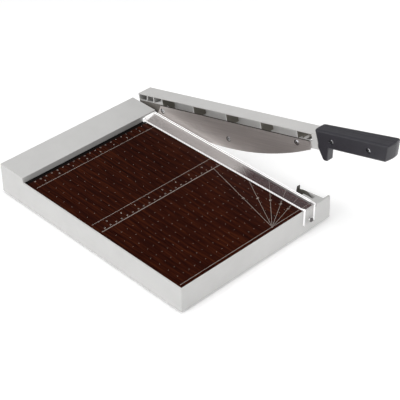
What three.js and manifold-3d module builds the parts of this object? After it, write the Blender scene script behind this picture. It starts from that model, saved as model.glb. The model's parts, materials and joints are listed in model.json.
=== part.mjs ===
// Guillotine paper cutter with a 12 inch cut: a moulded base with a woodgrain bed board, a fixed lower blade,
// a clear finger guard, a cast arm carrying the curved upper blade and a two-piece handle, and a swing latch.
//
// Units are millimetres and +Z is up. The bench axes used while building are X from the left face towards the
// cutting side, Y from the front face towards the rear, and Z from the bed surface. The arm's own axes have
// their origin on the pivot: u runs from the pivot towards the handle, z is up when the arm is level.
// At the end the whole cutter is moved so that its origin is the middle of its underside.

import * as THREE from 'three';
import { mergeVertices } from 'three/addons/utils/BufferGeometryUtils.js';
import Module from 'manifold-3d';

const wasm = await Module();
wasm.setup();

// ---- driving dimensions ----

const GAP = 0.3; // clearance between neighbouring pieces

const BASE_WIDTH = 250.9;
const BASE_DEPTH = 365.4;
const BASE_BOTTOM = -38;
const SIDE_WALL = 4;
const FRONT_WALL = 3.2;
const RIGHT_WALL = 7;
const BED_LIP = 2;
const BOARD_THICKNESS = 6;
const BOARD_FLOOR = 3;
const RULE_FRONT = 316;
const RULE_TOP = 8.35;
const PIVOT_ROOM = 34; // length of the recess around the pivot's washers and spring
const BAR_THICKNESS = 3;
const BAR_YS = [110, 215];
const SHELF_END = 286.1;
const SHELF_TOP = -33;
const WING_END = 283.8; // the wing's right edge leans outwards towards the shelf
const WING_TOP = -1;
const WING_NOTCH = { left: 251, right: 255.6, bottom: -4.5 }; // lets the blade's toe pass the wing
const GUARD_BOSS = { radius: 4.5, depth: 5 };

const LEDGER_LEFT = 249;
const CUT_PLANE = 252.4; // right face of the lower blade
const LEDGER_REAR = 322;
const LEDGER_DEPTH = 24;
const LEDGER_SCREW_YS = [40, 125, 210, 295];
const LEDGER_SCREW_Z = -14;

const GUARD_LEFT = 224.5; // at the rule; the strip narrows a little towards the front
const GUARD_LEFT_FRONT = 227.5;
const GUARD_RIGHT = 250;
const GUARD_BOTTOM = 2.5;
const GUARD_THICKNESS = 3;
const GUARD_TAB_LEFT = 229.3;
const GUARD_TAB_BOTTOM = -23;
const GUARD_SCREW = { x: 242.5, z: -18.5 };
const GUARD_LIPS = [245.2, 248.4]; // left edges of the two ridges along the cutting side
const GUARD_LIP = { width: 1.2, height: 1.1 };
const GUARD_WINDOWS = [231.5, 240]; // left edges of the two small windows at the front bend
const GUARD_WINDOW = { width: 5.5, front: 1.5, rear: 6 };
const GUARD_TONGUE = { left: 231.5, right: 246 }; // rear tongue held in a slot in the rule's front face

const PIVOT = { y: 335, z: -8 };
const RAISED_ANGLE = THREE.MathUtils.degToRad(14.7);
const BOLT_RADIUS = 4;
const BUSH_RADIUS = 6.05;
const WASHER_RADIUS = 9;
const WASHER_THICKNESS = 1.5;
const HEX_RADIUS = 7.5;
const SPRING = { radius: 6.3, wire: 1, length: 12, turns: 4 };
const NUT_LENGTH = 7;

const BLADE_LEFT = 252.6;
const BLADE_RIGHT = 254.8;
const BLADE_TOP = 19.3;
const BLADE_HEEL = 19; // u of the cutting edge's rear end
const BLADE_TOE = 333.5; // u of the cutting edge's front end
const EDGE_LOWEST = { u: 163.5, z: -23.5 };
const EDGE_RADIUS = 485;
const BLADE_SCREWS = [[37.6, 10.8], [173.3, -8.4], [309, 13]];

const ARM_LEFT = 255.1;
const ARM_RIGHT = 279.3;
const ARM_TOP = 30.3;
const ARM_REAR = -15.2;
const FLANGE = 1.3;
const RAIL_THICKNESS = 3.5;
const RAIL_TOP = 15; // between the end windows, hidden behind the blade
const END_RAIL_TOP = 18.7;
const EAR_TOP = 20;
const WEB_THICKNESS = 2.4;
const WEB_BOTTOM = -6;
const NECK_START = 336.5;
const NECK_BOTTOM = 8.3;
const RIB_PITCH = 68;
const FIRST_RIB = 37.5;
const LAST_RIB = FIRST_RIB + 4 * RIB_PITCH;
const RIB_HALF = 1; // half the thickness of a cross rib
const SLANTED_RIBS = [{ top: 5.2, foot: -0.4 }, { top: 18.6, foot: 17 }];
const BLADE_BOSS = { radius: 5.5, depth: 8 };
const HUB_RADIUS = 13;
const TANG = { left: 262, right: 268.5, bottom: 18, top: 30, end: 455 };
const CATCH = { u: 322.1, z: 15.6, radius: 2 };

const HANDLE_LEFT = 251.8;
const HANDLE_REAR_RIGHT = 272.6; // the right side widens towards the end
const HANDLE_END_RIGHT = 278.4;
const HANDLE_REAR = 345.3;
const HANDLE_END = 469.6;
const HANDLE_BULGE = 3; // how far the end swells past its left corner
const HANDLE_LEAN = { rear: -0.09, end: 0.33 }; // slopes of the rear and end faces, along u per mm of z
const HANDLE_CORNER = 5;
const HANDLE_SEAM = 265.6;
const HOOK_RIGHT = 263.2;
const HANDLE_TOP = 39.8;
const HANDLE_BOTTOM = 14.8;
const HANDLE_EDGE_RADIUS = 3;
const HANDLE_SCREWS = [[373.1, 25.9], [435.2, 26]];
const HANDLE_RECESS = 2.9; // depth of the screw heads below the handle's left side

const LATCH_AXIS = { y: 22.5, z: -9 };
const LATCH_LEFT = 263.3;
const LATCH_RIGHT = 268.5;
const LATCH_PIN_RADIUS = 2;
const BRACKET = { left: 256, rear: 29.5, frontRight: 274.5, rearRight: 270.5, top: -2 };
const BRACKET_SCREWS = [[260.6, 13.5], [269.4, 13.5]];

const FOOT_RADIUS = 9;
const FOOT_HEIGHT = 3;
const FEET = [[20, 24], [20, 343], [270, 48], [270, 343]];

// Screw sizes: head, shank and overall length.
const LEDGER_SCREW_SIZE = {
  headRadius: 3.8, headHeight: 2.3, shankRadius: 1.4, length: 7.5, countersunk: true,
};
const BLADE_SCREW_SIZE = {
  headRadius: 3.3, headHeight: 1.9, shankRadius: 1.8, length: 9, countersunk: true,
};
const GUARD_SCREW_SIZE = { headRadius: 3.4, headHeight: 2, shankRadius: 1.5, length: 11 };
const FOOT_SCREW_SIZE = { headRadius: 3.5, headHeight: 1.3, shankRadius: 1.5, length: 10 };
const SHELF_FOOT_SCREW_LENGTH = 6.5;
const BRACKET_SCREW_SIZE = { headRadius: 3.9, headHeight: 2.1, shankRadius: 1.7, length: 13 };
const HANDLE_SCREW_SIZE = { headRadius: 3.5, headHeight: 2.2, shankRadius: 1.7, length: 16.5 };

// ---- materials ----

function finish(color, roughness, metalness, extra = {}) {
  return new THREE.MeshStandardMaterial({ color, roughness, metalness, ...extra });
}

const materials = {
  shell: finish(0xc9c8c6, 0.5, 0),
  casting: finish(0xcfcecb, 0.45, 0),
  laminate: finish(0x33180f, 0.35, 0),
  blade: finish(0x958d89, 0.35, 1),
  ledger: finish(0xa3a2a1, 0.35, 1),
  guard: finish(0xe9eef2, 0.08, 0, { transparent: true, opacity: 0.35 }),
  handle: finish(0x3f3e42, 0.5, 0),
  latch: finish(0x4a4842, 0.45, 0),
  screw: finish(0xc4c6ca, 0.2, 1),
  spring: finish(0x85878a, 0.3, 1),
  bronze: finish(0xa8794a, 0.4, 1),
  rubber: finish(0x1f1f1f, 0.8, 0),
};

// ---- solids ----

// Turns a closed three.js geometry into a solid, leaving out triangles that collapse at a pole.
function solid(geometry) {
  geometry.deleteAttribute('normal');
  geometry.deleteAttribute('uv');
  const merged = mergeVertices(geometry, 1e-4);
  const corners = merged.index.array;
  const kept = [];
  for (let i = 0; i < corners.length; i += 3) {
    const [a, b, c] = [corners[i], corners[i + 1], corners[i + 2]];
    if (a !== b && b !== c && c !== a) kept.push(a, b, c);
  }
  return new wasm.Manifold(new wasm.Mesh({
    numProp: 3,
    vertProperties: new Float32Array(merged.attributes.position.array),
    triVerts: new Uint32Array(kept),
  }));
}

function box(x0, x1, y0, y1, z0, z1) {
  const geometry = new THREE.BoxGeometry(x1 - x0, y1 - y0, z1 - z0);
  geometry.translate((x0 + x1) / 2, (y0 + y1) / 2, (z0 + z1) / 2);
  return solid(geometry);
}

function rodX(radius, x0, x1, y, z, segments = 16) {
  const geometry = new THREE.CylinderGeometry(radius, radius, x1 - x0, segments);
  geometry.rotateZ(-Math.PI / 2);
  geometry.translate((x0 + x1) / 2, y, z);
  return solid(geometry);
}

function rodY(radius, x, y0, y1, z, segments = 12) {
  const geometry = new THREE.CylinderGeometry(radius, radius, y1 - y0, segments);
  geometry.translate(x, (y0 + y1) / 2, z);
  return solid(geometry);
}

function rodZ(radius, x, y, z0, z1, segments = 12) {
  const geometry = new THREE.CylinderGeometry(radius, radius, z1 - z0, segments);
  geometry.rotateX(Math.PI / 2);
  geometry.translate(x, y, (z0 + z1) / 2);
  return solid(geometry);
}

function ringX(outer, inner, x0, x1, y, z, segments = 20) {
  return rodX(outer, x0, x1, y, z, segments).subtract(rodX(inner, x0 - 1, x1 + 1, y, z, segments));
}

// Moves an extrusion made in the XY plane so that its outline lies in YZ and its depth along X.
const ALONG_X = new THREE.Matrix4().makeBasis(
  new THREE.Vector3(0, 1, 0),
  new THREE.Vector3(0, 0, 1),
  new THREE.Vector3(1, 0, 0),
);

// Plate with a YZ outline between two X planes; a bevel rounds its edges without growing the outline.
function plateX(shape, x0, x1, bevel = 0, bevelSegments = 4) {
  const geometry = new THREE.ExtrudeGeometry(shape, {
    depth: x1 - x0 - 2 * bevel,
    bevelEnabled: bevel > 0,
    bevelThickness: bevel,
    bevelSize: bevel,
    bevelOffset: -bevel,
    bevelSegments,
    curveSegments: 8,
  });
  geometry.applyMatrix4(ALONG_X);
  geometry.translate(x0 + bevel, 0, 0);
  return solid(geometry);
}

function prismZ(points, z0, z1) {
  const shape = new THREE.Shape(points.map(([x, y]) => new THREE.Vector2(x, y)));
  const geometry = new THREE.ExtrudeGeometry(shape, { depth: z1 - z0, bevelEnabled: false });
  geometry.translate(0, 0, z0);
  return solid(geometry);
}

function prismY(points, y0, y1) {
  const shape = new THREE.Shape(points.map(([x, z]) => new THREE.Vector2(x, z)));
  const geometry = new THREE.ExtrudeGeometry(shape, { depth: y1 - y0, bevelEnabled: false });
  geometry.rotateX(Math.PI / 2);
  geometry.translate(0, y1, 0);
  return solid(geometry);
}

function yzShape(points) {
  return new THREE.Shape(points.map(([y, z]) => new THREE.Vector2(y, z)));
}

// Outline given along the arm: u grows towards the handle, which is the -Y side.
function armShape(points) {
  return yzShape(points.map(([u, z]) => [-u, z]));
}

function armPlate(points, x0, x1) {
  return plateX(armShape(points), x0, x1);
}

function armBox(x0, x1, u0, u1, z0, z1) {
  return box(x0, x1, -u1, -u0, z0, z1);
}

function unite(first, ...rest) {
  return rest.reduce((whole, piece) => whole.add(piece), first);
}

function cut(whole, ...tools) {
  return tools.reduce((left, tool) => left.subtract(tool), whole);
}

// Screw whose head's outer face is at the origin and whose shank runs down -Z.
// A countersunk head tapers to the shank; a plain head is a low cylinder with a rounded rim.
function screw({ headRadius, headHeight, shankRadius, length, countersunk = false }) {
  const rim = countersunk ? 0.3 : headHeight * 0.45;
  const rimRadius = countersunk ? headRadius : headRadius * 0.82;
  const profile = [
    [0, 0],
    [rimRadius, 0],
    [headRadius, -rim],
    [countersunk ? shankRadius : headRadius, -headHeight],
    [shankRadius, -headHeight],
    [shankRadius, -length + 0.5],
    [shankRadius - 0.5, -length],
    [0, -length],
  ];
  const points = profile.reverse().map(([r, h]) => new THREE.Vector2(r, h));
  const body = new THREE.LatheGeometry(points, 12);
  body.rotateX(Math.PI / 2);
  const socketDepth = Math.min(1.4, headHeight * 0.65);
  const socket = rodZ(headRadius * 0.42, 0, 0, -socketDepth, 1, 6);
  return solid(body).subtract(socket);
}

function springX({ radius, wire, turns }, x0, x1) {
  class Helix extends THREE.Curve {
    getPoint(t, target = new THREE.Vector3()) {
      const angle = t * turns * 2 * Math.PI;
      const x = x0 + wire + t * (x1 - x0 - 2 * wire);
      return target.set(x, radius * Math.cos(angle), radius * Math.sin(angle));
    }
  }
  const section = new THREE.Shape();
  section.absarc(0, 0, wire, 0, 2 * Math.PI);
  const geometry = new THREE.ExtrudeGeometry(section, {
    steps: turns * 12,
    curveSegments: 3,
    bevelEnabled: false,
    extrudePath: new Helix(),
  });
  return solid(geometry);
}

// ---- scene graph ----

const cutter = new THREE.Group();
const base = new THREE.Group();
const arm = new THREE.Group();
arm.position.set(0, PIVOT.y, PIVOT.z);
arm.rotation.x = -RAISED_ANGLE;
cutter.add(base, arm);

function addMesh(parent, name, shape, material) {
  const { vertProperties, triVerts } = shape.getMesh();
  const geometry = new THREE.BufferGeometry();
  geometry.setAttribute('position', new THREE.BufferAttribute(vertProperties, 3));
  geometry.setIndex(new THREE.BufferAttribute(triVerts, 1));
  geometry.computeVertexNormals();
  const mesh = new THREE.Mesh(geometry, material);
  mesh.name = name;
  parent.add(mesh);
  return mesh;
}

// ---- base ----

const BOARD_SEAT = -BOARD_THICKNESS - GAP;
const HOLLOW_TOP = BOARD_SEAT - BOARD_FLOOR;
const HOLLOW_RIGHT = BASE_WIDTH - RIGHT_WALL;
const HOLLOW_REAR = BASE_DEPTH - SIDE_WALL;

function shellBlock() {
  const block = box(0, BASE_WIDTH, 0, BASE_DEPTH, BASE_BOTTOM, 0);
  const rule = box(0, BASE_WIDTH, RULE_FRONT, BASE_DEPTH, -1, RULE_TOP);
  const wing = prismY([
    [BASE_WIDTH - 1, BASE_BOTTOM], [SHELF_END, BASE_BOTTOM], [WING_END, WING_TOP], [BASE_WIDTH - 1, WING_TOP],
  ], 0, FRONT_WALL);
  const notch = box(WING_NOTCH.left, WING_NOTCH.right, -1, FRONT_WALL + 1, WING_NOTCH.bottom, 1);
  const shelf = box(BASE_WIDTH - 1, SHELF_END, 1, BASE_DEPTH, BASE_BOTTOM, SHELF_TOP);
  return unite(block, rule, wing.subtract(notch), shelf);
}

function shellHollows() {
  const below = BASE_BOTTOM - 1;
  const washerRoom = WASHER_RADIUS + 2 * GAP;
  return [
    box(
      HOLLOW_RIGHT - PIVOT_ROOM, HOLLOW_RIGHT, PIVOT.y - washerRoom, PIVOT.y + washerRoom,
      HOLLOW_TOP - 1, PIVOT.z + washerRoom,
    ),
    box(SIDE_WALL, HOLLOW_RIGHT, FRONT_WALL, HOLLOW_REAR, below, HOLLOW_TOP),
    box(BED_LIP, BASE_WIDTH + 0.01, BED_LIP, RULE_FRONT, BOARD_SEAT, 1),
  ];
}

// Cross bar that stiffens the base under the bed, fixed between the shell's side walls.
function crossBar(y) {
  return box(SIDE_WALL + GAP, HOLLOW_RIGHT - GAP, y, y + BAR_THICKNESS, BASE_BOTTOM, HOLLOW_TOP - GAP);
}

function shellBosses() {
  const bosses = FEET.filter(([x]) => x < BASE_WIDTH).map(
    ([x, y]) => rodZ(FOOT_RADIUS - 1, x, y, BASE_BOTTOM, HOLLOW_TOP + 1),
  );
  const guardBoss = rodY(
    GUARD_BOSS.radius, GUARD_SCREW.x, FRONT_WALL - 1, FRONT_WALL + GUARD_BOSS.depth, GUARD_SCREW.z,
  );
  return [...bosses, guardBoss];
}

function shellOpenings() {
  const ledgerPocket = box(
    LEDGER_LEFT - GAP, BASE_WIDTH + 1, FRONT_WALL, LEDGER_REAR + GAP, -LEDGER_DEPTH - GAP, GAP,
  );
  const guardSlot = box(
    GUARD_TONGUE.left - GAP, GUARD_TONGUE.right + GAP, RULE_FRONT - 1, RULE_FRONT + SIDE_WALL + 1,
    GUARD_BOTTOM - GAP, GUARD_BOTTOM + GUARD_THICKNESS + GAP,
  );
  const ledgerHoles = LEDGER_SCREW_YS.map((y) => rodX(
    LEDGER_SCREW_SIZE.shankRadius + GAP, HOLLOW_RIGHT - 1, LEDGER_LEFT, y, LEDGER_SCREW_Z,
  ));
  const footHoles = FEET.map(([x, y]) => {
    const top = x > BASE_WIDTH ? SHELF_TOP + 1 : BASE_BOTTOM + FOOT_SCREW_SIZE.length;
    return rodZ(FOOT_SCREW_SIZE.shankRadius + GAP, x, y, BASE_BOTTOM - 1, top);
  });
  const bracketHoles = BRACKET_SCREWS.map(([x, y]) => rodZ(
    BRACKET_SCREW_SIZE.shankRadius + GAP, x, y, BASE_BOTTOM - 1, SHELF_TOP + 1,
  ));
  const recessTop = BASE_BOTTOM + BRACKET_SCREW_SIZE.headHeight + 2 * GAP;
  const headRecesses = BRACKET_SCREWS.map(([x, y]) => rodZ(
    BRACKET_SCREW_SIZE.headRadius + GAP, x, y, BASE_BOTTOM - 1, recessTop,
  ));
  return [
    ledgerPocket,
    guardSlot,
    rodX(BOLT_RADIUS + GAP, HOLLOW_RIGHT - 1, BASE_WIDTH + 1, PIVOT.y, PIVOT.z, 20),
    rodY(GUARD_SCREW_SIZE.shankRadius + GAP, GUARD_SCREW.x, -1, FRONT_WALL + 4, GUARD_SCREW.z),
    ...ledgerHoles,
    ...footHoles,
    ...bracketHoles,
    ...headRecesses,
  ];
}

function baseShell() {
  const hollowed = cut(shellBlock(), ...shellHollows());
  return cut(unite(hollowed, ...shellBosses()), ...shellOpenings());
}

function bedBoard() {
  return box(
    BED_LIP + GAP, LEDGER_LEFT - 2 * GAP, BED_LIP + GAP, RULE_FRONT - 2 * GAP, -BOARD_THICKNESS, 0,
  );
}

// Conical seat for a countersunk head, open towards +X or -X at the plane x.
function countersinkX(size, x, y, z, opensTowards) {
  const depth = size.headHeight + 1.5 * GAP;
  const mouth = size.headRadius + GAP + 0.4;
  const cone = new THREE.CylinderGeometry(mouth, size.shankRadius + GAP, depth, 16);
  cone.rotateZ(-opensTowards * Math.PI / 2);
  cone.translate(x - opensTowards * depth / 2, y, z);
  return solid(cone);
}

function ledgerBlade() {
  const bar = box(LEDGER_LEFT, CUT_PLANE, FRONT_WALL + GAP, LEDGER_REAR, -LEDGER_DEPTH, 0);
  const holes = LEDGER_SCREW_YS.flatMap((y) => [
    countersinkX(LEDGER_SCREW_SIZE, CUT_PLANE + 0.05, y, LEDGER_SCREW_Z, 1),
    rodX(LEDGER_SCREW_SIZE.shankRadius + GAP, LEDGER_LEFT - 1, CUT_PLANE + 1, y, LEDGER_SCREW_Z),
  ]);
  return cut(bar, ...holes);
}

function guardStrip() {
  const top = GUARD_BOTTOM + GUARD_THICKNESS;
  const front = -GAP - GUARD_THICKNESS + 0.4;
  const rear = RULE_FRONT - 1.1;
  const plate = prismZ([
    [GUARD_LEFT_FRONT, 3],
    [GUARD_TAB_LEFT, front],
    [GUARD_RIGHT, front],
    [GUARD_RIGHT, rear],
    [GUARD_LEFT, rear],
  ], GUARD_BOTTOM, top);
  const tab = box(GUARD_TAB_LEFT, GUARD_RIGHT - 0.5, front, -GAP, GUARD_TAB_BOTTOM, top);
  const leg = box(GUARD_LEFT, GUARD_LEFT + 11, rear - 3, rear, GAP, top);
  const tongue = box(GUARD_TONGUE.left, GUARD_TONGUE.right, rear - 1, RULE_FRONT + 2.5, GUARD_BOTTOM, top);
  const lips = GUARD_LIPS.map((x) => box(
    x, x + GUARD_LIP.width, GUARD_WINDOW.rear - 2, rear, top - 1, top + GUARD_LIP.height,
  ));
  const windows = GUARD_WINDOWS.map((x) => box(
    x, x + GUARD_WINDOW.width, GUARD_WINDOW.front, GUARD_WINDOW.rear, GUARD_BOTTOM - 1, top + 1,
  ));
  const screwHole = rodY(GUARD_SCREW_SIZE.shankRadius + 2 * GAP, GUARD_SCREW.x, front - 1, 0, GUARD_SCREW.z);
  return cut(unite(plate, tab, leg, tongue, ...lips), ...windows, screwHole);
}

function buildBase() {
  addMesh(base, 'base_shell', baseShell(), materials.shell);
  BAR_YS.forEach((y, i) => addMesh(base, `cross_bar_${i + 1}`, crossBar(y), materials.shell));
  addMesh(base, 'bed_board', bedBoard(), materials.laminate);
  addMesh(base, 'ledger_blade', ledgerBlade(), materials.ledger);
  LEDGER_SCREW_YS.forEach((y, i) => {
    const piece = addMesh(base, `ledger_screw_${i + 1}`, screw(LEDGER_SCREW_SIZE), materials.screw);
    piece.position.set(CUT_PLANE - 0.15, y, LEDGER_SCREW_Z);
    piece.rotation.y = Math.PI / 2;
  });
  addMesh(base, 'guard_strip', guardStrip(), materials.guard);
  const guardScrew = addMesh(base, 'guard_screw', screw(GUARD_SCREW_SIZE), materials.screw);
  guardScrew.position.set(GUARD_SCREW.x, -GUARD_THICKNESS - 2.2, GUARD_SCREW.z);
  guardScrew.rotation.x = Math.PI / 2;
}

function rubberFoot(x, y) {
  const top = BASE_BOTTOM - GAP;
  const bottom = top - FOOT_HEIGHT;
  const disc = new THREE.CylinderGeometry(FOOT_RADIUS, FOOT_RADIUS - 0.8, FOOT_HEIGHT, 20);
  disc.rotateX(Math.PI / 2);
  disc.translate(x, y, (top + bottom) / 2);
  return cut(solid(disc), rodZ(1.9, x, y, bottom - 1, top + 1), rodZ(4, x, y, bottom - 1, bottom + 1.9));
}

function buildFeet() {
  FEET.forEach(([x, y], i) => {
    addMesh(base, `foot_${i + 1}`, rubberFoot(x, y), materials.rubber);
    const length = x > BASE_WIDTH ? SHELF_FOOT_SCREW_LENGTH : FOOT_SCREW_SIZE.length;
    const shape = screw({ ...FOOT_SCREW_SIZE, length });
    const footScrew = addMesh(base, `foot_screw_${i + 1}`, shape, materials.screw);
    footScrew.position.set(x, y, BASE_BOTTOM - GAP - FOOT_HEIGHT + 0.3);
    footScrew.rotation.x = Math.PI;
  });
}

// ---- pivot ----

const INNER_STACK = HOLLOW_RIGHT - GAP; // the washers, spring and nut lie inside the wall

function pivotBolt() {
  const headLeft = ARM_RIGHT + 2 * GAP + WASHER_THICKNESS;
  const tip = INNER_STACK - 2 * WASHER_THICKNESS - SPRING.length - 12;
  const shank = rodX(BOLT_RADIUS, tip, headLeft + 1, PIVOT.y, PIVOT.z, 20);
  const head = rodX(HEX_RADIUS, headLeft, SHELF_END - 0.4, PIVOT.y, PIVOT.z, 6);
  return shank.add(head);
}

function pivotRing(x0, x1) {
  return ringX(WASHER_RADIUS, BOLT_RADIUS + GAP, x0, x1, PIVOT.y, PIVOT.z);
}

function lockNut(x0, x1) {
  const hex = rodX(HEX_RADIUS, x0 + 1.8, x1, PIVOT.y, PIVOT.z, 6);
  const collar = rodX(HEX_RADIUS - 1.3, x0, x1 - 1, PIVOT.y, PIVOT.z);
  return hex.add(collar).subtract(rodX(BOLT_RADIUS + GAP, x0 - 1, x1 + 1, PIVOT.y, PIVOT.z, 20));
}

function buildPivot() {
  addMesh(base, 'pivot_bolt', pivotBolt(), materials.screw);
  const headWasher = pivotRing(ARM_RIGHT + GAP, ARM_RIGHT + GAP + WASHER_THICKNESS);
  addMesh(base, 'pivot_head_washer', headWasher, materials.spring);
  addMesh(base, 'pivot_spacer', pivotRing(BASE_WIDTH + GAP, ARM_LEFT - GAP), materials.bronze);
  const springRight = INNER_STACK - WASHER_THICKNESS - GAP;
  const springLeft = springRight - SPRING.length;
  const wallWasher = pivotRing(INNER_STACK - WASHER_THICKNESS, INNER_STACK);
  addMesh(base, 'pivot_wall_washer', wallWasher, materials.spring);
  const spring = springX(SPRING, springLeft, springRight);
  const springMesh = addMesh(base, 'pivot_spring', spring, materials.spring);
  springMesh.position.set(0, PIVOT.y, PIVOT.z);
  const nutRight = springLeft - WASHER_THICKNESS - 2 * GAP;
  addMesh(base, 'pivot_nut_washer', pivotRing(nutRight + GAP, springLeft - GAP), materials.spring);
  addMesh(base, 'pivot_lock_nut', lockNut(nutRight - NUT_LENGTH, nutRight), materials.screw);
}

// ---- latch ----

function bracketBlock() {
  const front = FRONT_WALL + GAP;
  const { left, rear, frontRight, rearRight, top } = BRACKET;
  const plan = [[left, front], [frontRight, front], [rearRight, rear], [left, rear]];
  return prismZ(plan, SHELF_TOP + GAP, top);
}

function latchBracket() {
  const slotLeft = LATCH_LEFT - 0.6;
  const slotRight = LATCH_RIGHT + 0.6;
  const lip = BRACKET.rear - 2.3;
  const slot = box(slotLeft, slotRight, LATCH_AXIS.y - 6.4, lip, LATCH_AXIS.z - 4.7, 0);
  const swingRoom = box(slotLeft, slotRight, LATCH_AXIS.y - 8.9, LATCH_AXIS.y, -7, 0);
  const restNotch = box(slotLeft, slotRight, lip - 1, BRACKET.rear + 1, -7.9, 0);
  const pinHole = rodX(
    LATCH_PIN_RADIUS + GAP, BRACKET.left - 1, BRACKET.frontRight + 1, LATCH_AXIS.y, LATCH_AXIS.z,
  );
  const screwHoles = BRACKET_SCREWS.map(([x, y]) => rodZ(2, x, y, SHELF_TOP, -23));
  return cut(bracketBlock(), slot, swingRoom, restNotch, pinHole, ...screwHoles);
}

function latchHook() {
  const { y, z } = LATCH_AXIS;
  const claw = y + 18.9; // front face of the claw while the latch lies folded down
  const outline = new THREE.Shape();
  outline.moveTo(y + 2.2, z + 6.9);
  outline.absarc(y, z, 4.2, Math.PI * 0.55, Math.PI * 1.6, false);
  outline.lineTo(y + 4.4, z + 1.5);
  outline.lineTo(claw + 2, z + 1.5);
  outline.lineTo(claw + 2.9, z + 3);
  outline.lineTo(claw + 1.8, z + 12);
  outline.quadraticCurveTo(claw + 0.6, z + 13.4, claw - 0.2, z + 12.2);
  outline.lineTo(claw, z + 6.2);
  outline.quadraticCurveTo(y + 11, z + 9, y + 5.5, z + 8.5);
  outline.closePath();
  const bar = plateX(outline, LATCH_LEFT, LATCH_RIGHT, 0.6, 2);
  return bar.subtract(rodX(LATCH_PIN_RADIUS + GAP, LATCH_LEFT - 1, LATCH_RIGHT + 1, y, z));
}

function buildLatch() {
  addMesh(base, 'latch_bracket', latchBracket(), materials.shell);
  addMesh(base, 'latch_hook', latchHook(), materials.latch);
  const pin = rodX(LATCH_PIN_RADIUS, BRACKET.left + 0.4, BRACKET.rearRight, LATCH_AXIS.y, LATCH_AXIS.z);
  addMesh(base, 'latch_pin', pin, materials.screw);
  BRACKET_SCREWS.forEach(([x, y], i) => {
    const piece = addMesh(base, `bracket_screw_${i + 1}`, screw(BRACKET_SCREW_SIZE), materials.screw);
    piece.position.set(x, y, BASE_BOTTOM + 0.2);
    piece.rotation.x = Math.PI;
  });
}

// ---- arm ----

function edgeHeight(u) {
  const offset = u - EDGE_LOWEST.u;
  return EDGE_LOWEST.z + EDGE_RADIUS - Math.sqrt(EDGE_RADIUS ** 2 - offset ** 2);
}

function crescent(fromU, toU, rise, ceiling, steps) {
  const points = [];
  for (let i = 0; i <= steps; i += 1) {
    const u = fromU + (toU - fromU) * (i / steps);
    points.push([u, Math.min(edgeHeight(u) + rise, ceiling)]);
  }
  return points;
}

// Rear end of the rail and web: a round ear about the pivot, tangent to the lower edges.
function earOutline(fromTop, lowerPoints, topRight) {
  const points = [[ARM_REAR, fromTop]];
  points.push([ARM_REAR, 2]);
  const steps = 10;
  for (let i = 0; i <= steps; i += 1) {
    const angle = Math.PI + (Math.PI * 0.78 * i) / steps;
    points.push([HUB_RADIUS * Math.cos(angle), HUB_RADIUS * Math.sin(angle)]);
  }
  return [...points, ...lowerPoints, ...topRight];
}

function leftRail() {
  const belly = crescent(40, 326, 10, NECK_BOTTOM, 28);
  const outline = earOutline(EAR_TOP, belly, [
    [NECK_START + 1, NECK_BOTTOM], [NECK_START + 1, END_RAIL_TOP], [LAST_RIB, END_RAIL_TOP],
    [LAST_RIB, RAIL_TOP], [FIRST_RIB, RAIL_TOP], [FIRST_RIB, EAR_TOP],
  ]);
  return armPlate(outline, ARM_LEFT, ARM_LEFT + RAIL_THICKNESS);
}

function rightWeb() {
  const lower = [[30, WEB_BOTTOM], [296, WEB_BOTTOM], [309, NECK_BOTTOM], [NECK_START + 1, NECK_BOTTOM]];
  const outline = earOutline(ARM_TOP, lower, [[NECK_START + 1, ARM_TOP]]);
  return armPlate(outline, ARM_RIGHT - WEB_THICKNESS, ARM_RIGHT);
}

function crossRibs() {
  const ribTop = ARM_TOP - 1;
  const ribs = [];
  for (let i = 0; i < 5; i += 1) {
    const u = FIRST_RIB + i * RIB_PITCH;
    const bottom = i === 4 ? 15 : 9.5;
    ribs.push(armBox(ARM_LEFT, ARM_RIGHT, u - RIB_HALF, u + RIB_HALF, bottom, ribTop));
  }
  const slanted = SLANTED_RIBS.map(({ top, foot }) => armPlate([
    [top - RIB_HALF, ribTop],
    [top + RIB_HALF, ribTop],
    [foot + RIB_HALF, HUB_RADIUS - 1],
    [foot - RIB_HALF, HUB_RADIUS - 1],
  ], ARM_LEFT, ARM_RIGHT));
  const endWall = armBox(ARM_LEFT, ARM_RIGHT, ARM_REAR, ARM_REAR + 2, 2, ribTop);
  return [...ribs, ...slanted, endWall];
}

function armNeck() {
  const neck = armPlate([
    [NECK_START, ARM_TOP], [345.7, ARM_TOP], [347, 15], [347.9, NECK_BOTTOM], [NECK_START, NECK_BOTTOM],
  ], ARM_LEFT, ARM_RIGHT);
  const tang = armBox(TANG.left, TANG.right, 343, TANG.end, TANG.bottom, TANG.top);
  return neck.add(tang);
}

function armCasting() {
  const flange = armBox(ARM_LEFT, ARM_RIGHT, ARM_REAR, NECK_START + 1, ARM_TOP - FLANGE, ARM_TOP);
  const hub = rodX(HUB_RADIUS, ARM_LEFT, ARM_RIGHT, 0, 0, 28);
  const gusset = armPlate([[21, 12], [21, 20.4], [37, 25.4], [37, 12]], ARM_LEFT, 268);
  const bosses = BLADE_SCREWS.map(([u, z]) => rodX(
    BLADE_BOSS.radius, ARM_LEFT + 1, ARM_LEFT + BLADE_BOSS.depth, -u, z,
  ));
  const body = unite(leftRail(), rightWeb(), flange, hub, gusset, ...crossRibs(), ...bosses, armNeck());
  const bladeHoles = BLADE_SCREWS.map(([u, z]) => rodX(
    BLADE_SCREW_SIZE.shankRadius + GAP, ARM_LEFT - 1, ARM_LEFT + BLADE_BOSS.depth + 1, -u, z,
  ));
  const tangHoles = HANDLE_SCREWS.map(([u, z]) => rodX(
    HANDLE_SCREW_SIZE.shankRadius + 2 * GAP, TANG.left - 1, TANG.right + 1, -u, z,
  ));
  return cut(
    body,
    rodX(BUSH_RADIUS + GAP, ARM_LEFT - 1, ARM_RIGHT + 1, 0, 0, 24),
    rodX(CATCH.radius + GAP, ARM_LEFT - 1, ARM_RIGHT + 1, -CATCH.u, CATCH.z),
    ...bladeHoles,
    ...tangHoles,
  );
}

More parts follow.
